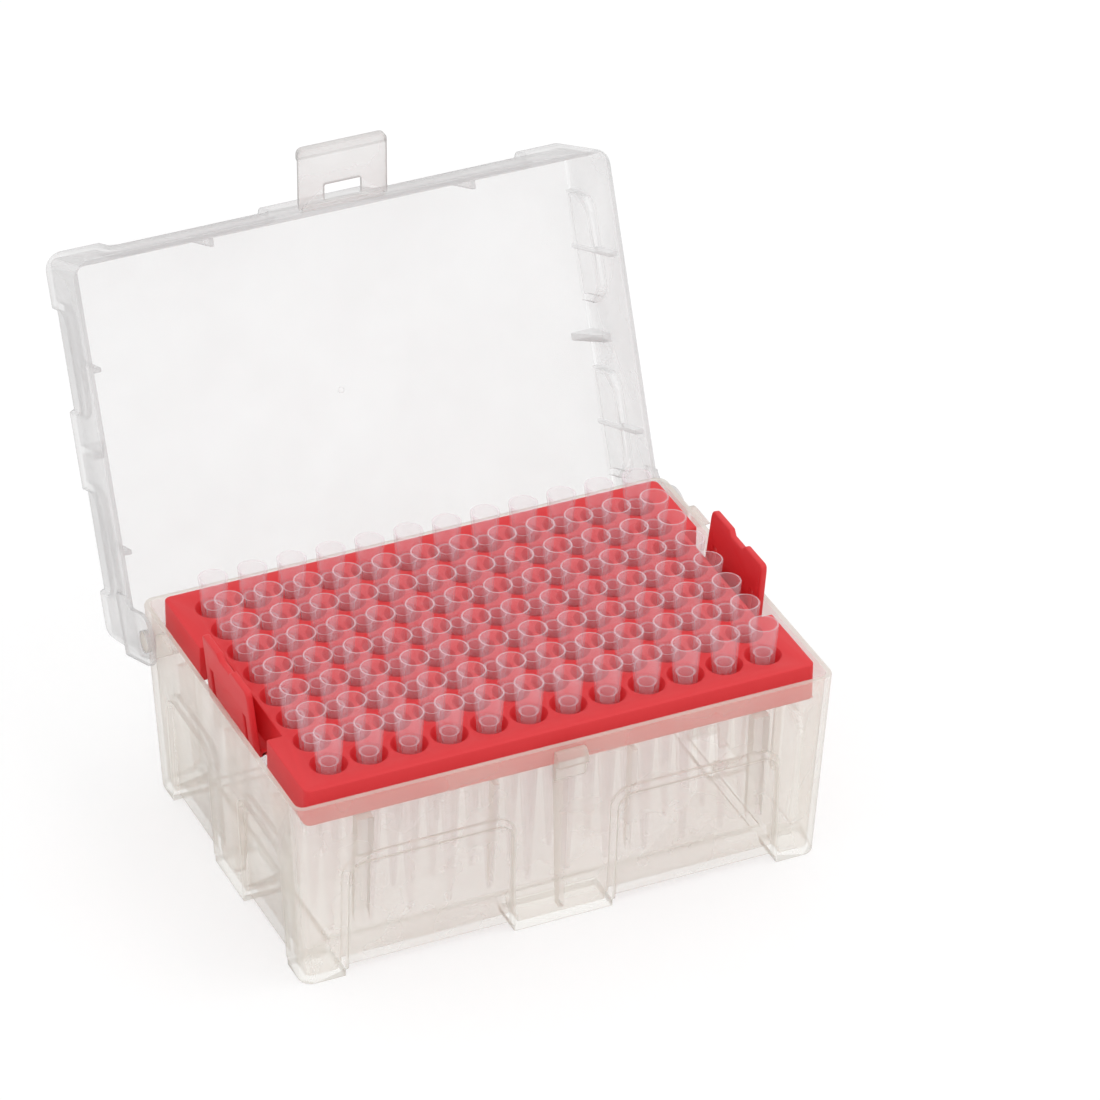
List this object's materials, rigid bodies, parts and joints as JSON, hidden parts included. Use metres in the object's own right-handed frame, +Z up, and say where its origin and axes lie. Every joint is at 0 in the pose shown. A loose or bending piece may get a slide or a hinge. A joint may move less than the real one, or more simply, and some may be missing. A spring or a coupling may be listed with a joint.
{
  "type": "box of pipette tips",
  "caption": "Hinged clear plastic rack box, stored open, with a red lift-out deck full of clear pipette tips and a flip-out latch flap on the lid.",
  "frame": {"origin": "bottom centre of the box as it stands open, at the level of the feet", "axes": "+X along the hinge line to the right as seen from the front, +Y from the front with the catch to the back with the hinge, +Z up"},
  "size_m": [0.1262, 0.1404, 0.1273],
  "materials": {
    "base_plastic": "milky see-through moulded polypropylene with a faint warm tint and a soft gloss",
    "deck_plastic": "opaque red moulded plastic with a fine satin surface",
    "tip_plastic": "thin clear moulded polypropylene, smooth and glossy",
    "lid_plastic": "milky see-through moulded polypropylene, satin outside and inside",
    "flap_plastic": "the lid's milky plastic, thin enough to bend at its film hinge"
  },
  "bodies": {
    "base": {"base_box": "base_plastic", "tip_deck": "deck_plastic", "tip_a1": "tip_plastic", "tip_a2": "tip_plastic", "tip_a3": "tip_plastic", "tip_a4": "tip_plastic", "tip_a5": "tip_plastic", "tip_a6": "tip_plastic", "tip_a7": "tip_plastic", "tip_a8": "tip_plastic", "tip_a9": "tip_plastic", "tip_a10": "tip_plastic", "tip_a11": "tip_plastic", "tip_a12": "tip_plastic", "tip_b1": "tip_plastic", "tip_b2": "tip_plastic", "tip_b3": "tip_plastic", "tip_b4": "tip_plastic", "tip_b5": "tip_plastic", "tip_b6": "tip_plastic", "tip_b7": "tip_plastic", "tip_b8": "tip_plastic", "tip_b9": "tip_plastic", "tip_b10": "tip_plastic", "tip_b11": "tip_plastic", "tip_b12": "tip_plastic", "tip_c1": "tip_plastic", "tip_c2": "tip_plastic", "tip_c3": "tip_plastic", "tip_c4": "tip_plastic", "tip_c5": "tip_plastic", "tip_c6": "tip_plastic", "tip_c7": "tip_plastic", "tip_c8": "tip_plastic", "tip_c9": "tip_plastic", "tip_c10": "tip_plastic", "tip_c11": "tip_plastic", "tip_c12": "tip_plastic", "tip_d1": "tip_plastic", "tip_d2": "tip_plastic", "tip_d3": "tip_plastic", "tip_d4": "tip_plastic", "tip_d5": "tip_plastic", "tip_d6": "tip_plastic", "tip_d7": "tip_plastic", "tip_d8": "tip_plastic", "tip_d9": "tip_plastic", "tip_d10": "tip_plastic", "tip_d11": "tip_plastic", "tip_d12": "tip_plastic"},
    "lid": {"lid": "lid_plastic"},
    "flap": {"latch_flap": "flap_plastic"}
  },
  "joints": [
    {"name": "lid_hinge", "type": "hinge", "parent": "base", "child": "lid", "pos_m": [0, 0.01292, 0.0389], "axis": [1, 0, 0], "range_deg": [0, 111.81]},
    {"name": "latch_hinge", "type": "hinge", "parent": "lid", "child": "flap", "pos_m": [0, 0.05054, 0.11233], "axis": [1, 0, 0], "range_deg": [-81.5, 68.5]}
  ]
}
